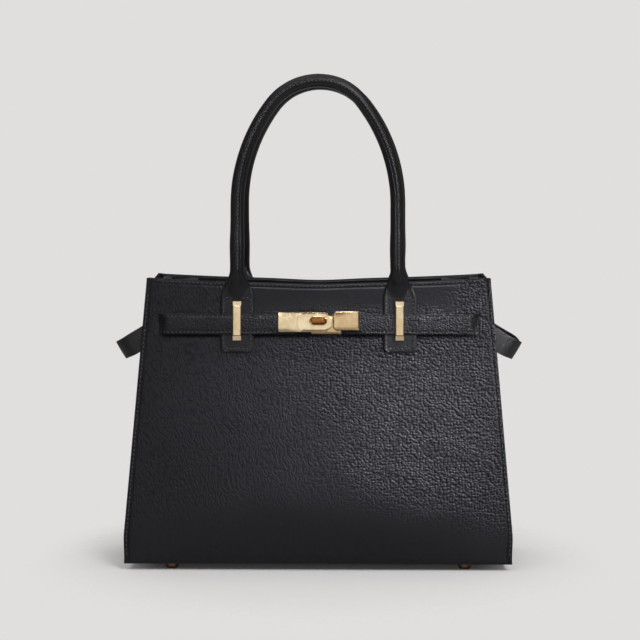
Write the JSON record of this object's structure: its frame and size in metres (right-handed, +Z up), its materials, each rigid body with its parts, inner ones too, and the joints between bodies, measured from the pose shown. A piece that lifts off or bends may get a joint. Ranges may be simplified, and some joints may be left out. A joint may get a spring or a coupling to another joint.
{
  "type": "top handle bag",
  "caption": "Structured trapezoid top handle bag in black grained leather, with rolled handles, a belt with side loops, keeper bars, a turn lock and metal feet.",
  "frame": {"origin": "middle of the footprint, on the ground under the bag, at the bottom of its feet", "axes": "+Z up, +X to the right seen from the front, front of the bag towards -Y"},
  "size_m": [0.3178, 0.13, 0.3848],
  "materials": {
    "grained_leather": "pebbled, satin",
    "smooth_leather": "smooth, satin",
    "gold_metal": "polished pale gold plating",
    "board": "matte",
    "lining_cloth": "matte woven",
    "core": "packed cord"
  },
  "bodies": {
    "bag": {"front_panel": "grained_leather", "back_panel": "grained_leather", "left_gusset": "grained_leather", "right_gusset": "grained_leather", "base_panel": "grained_leather", "front_stiffener": "board", "back_stiffener": "board", "base_board": "board", "front_lining": "lining_cloth", "back_lining": "lining_cloth", "left_gusset_lining": "lining_cloth", "right_gusset_lining": "lining_cloth", "base_lining": "lining_cloth", "front_top_facing": "smooth_leather", "back_top_facing": "smooth_leather", "front_left_tab": "smooth_leather", "front_right_tab": "smooth_leather", "back_left_tab": "smooth_leather", "back_right_tab": "smooth_leather", "left_belt": "grained_leather", "right_belt": "grained_leather", "left_side_loop": "smooth_leather", "right_side_loop": "smooth_leather", "left_keeper": "gold_metal", "right_keeper": "gold_metal", "keeper_backing_plates": "gold_metal", "keeper_screws": "gold_metal", "lock_base_plate": "gold_metal", "knob_washer": "gold_metal", "lock_backing_plate": "gold_metal", "lock_screws": "gold_metal", "clasp_block": "gold_metal", "front_left_foot": "gold_metal", "front_right_foot": "gold_metal", "back_left_foot": "gold_metal", "back_right_foot": "gold_metal", "foot_washers": "gold_metal"},
    "front_handle": {"front_handle": "smooth_leather", "front_handle_core": "core"},
    "back_handle": {"back_handle": "smooth_leather", "back_handle_core": "core"},
    "turn_knob": {"turn_knob": "gold_metal", "knob_clip": "gold_metal"},
    "belt_end": {"left_belt_end": "grained_leather", "clasp_plate": "gold_metal", "clasp_rim": "gold_metal", "clasp_back_plate": "gold_metal", "clasp_rivets": "gold_metal"}
  },
  "joints": [
    {"name": "front_handle_swing", "type": "hinge", "parent": "bag", "child": "front_handle", "pos_m": [0, -0.04587, 0.22733], "axis": [1, 0, 0], "range_deg": [-8, 95], "stiffness_Nm_per_rad": 0.15},
    {"name": "back_handle_swing", "type": "hinge", "parent": "bag", "child": "back_handle", "pos_m": [0, 0.04587, 0.22733], "axis": [-1, 0, 0], "range_deg": [-8, 95], "stiffness_Nm_per_rad": 0.15},
    {"name": "turn_knob_turn", "type": "hinge", "parent": "bag", "child": "turn_knob", "pos_m": [0, -0.04291, 0.19188], "axis": [0, -0.9931, 0.1174], "range_deg": [0, 90]},
    {"name": "belt_end_swing", "type": "hinge", "parent": "bag", "child": "belt_end", "pos_m": [-0.05845, -0.04598, 0.18983], "axis": [0, -0.1174, -0.9931], "range_deg": [0, 70], "stiffness_Nm_per_rad": 0.02}
  ]
}
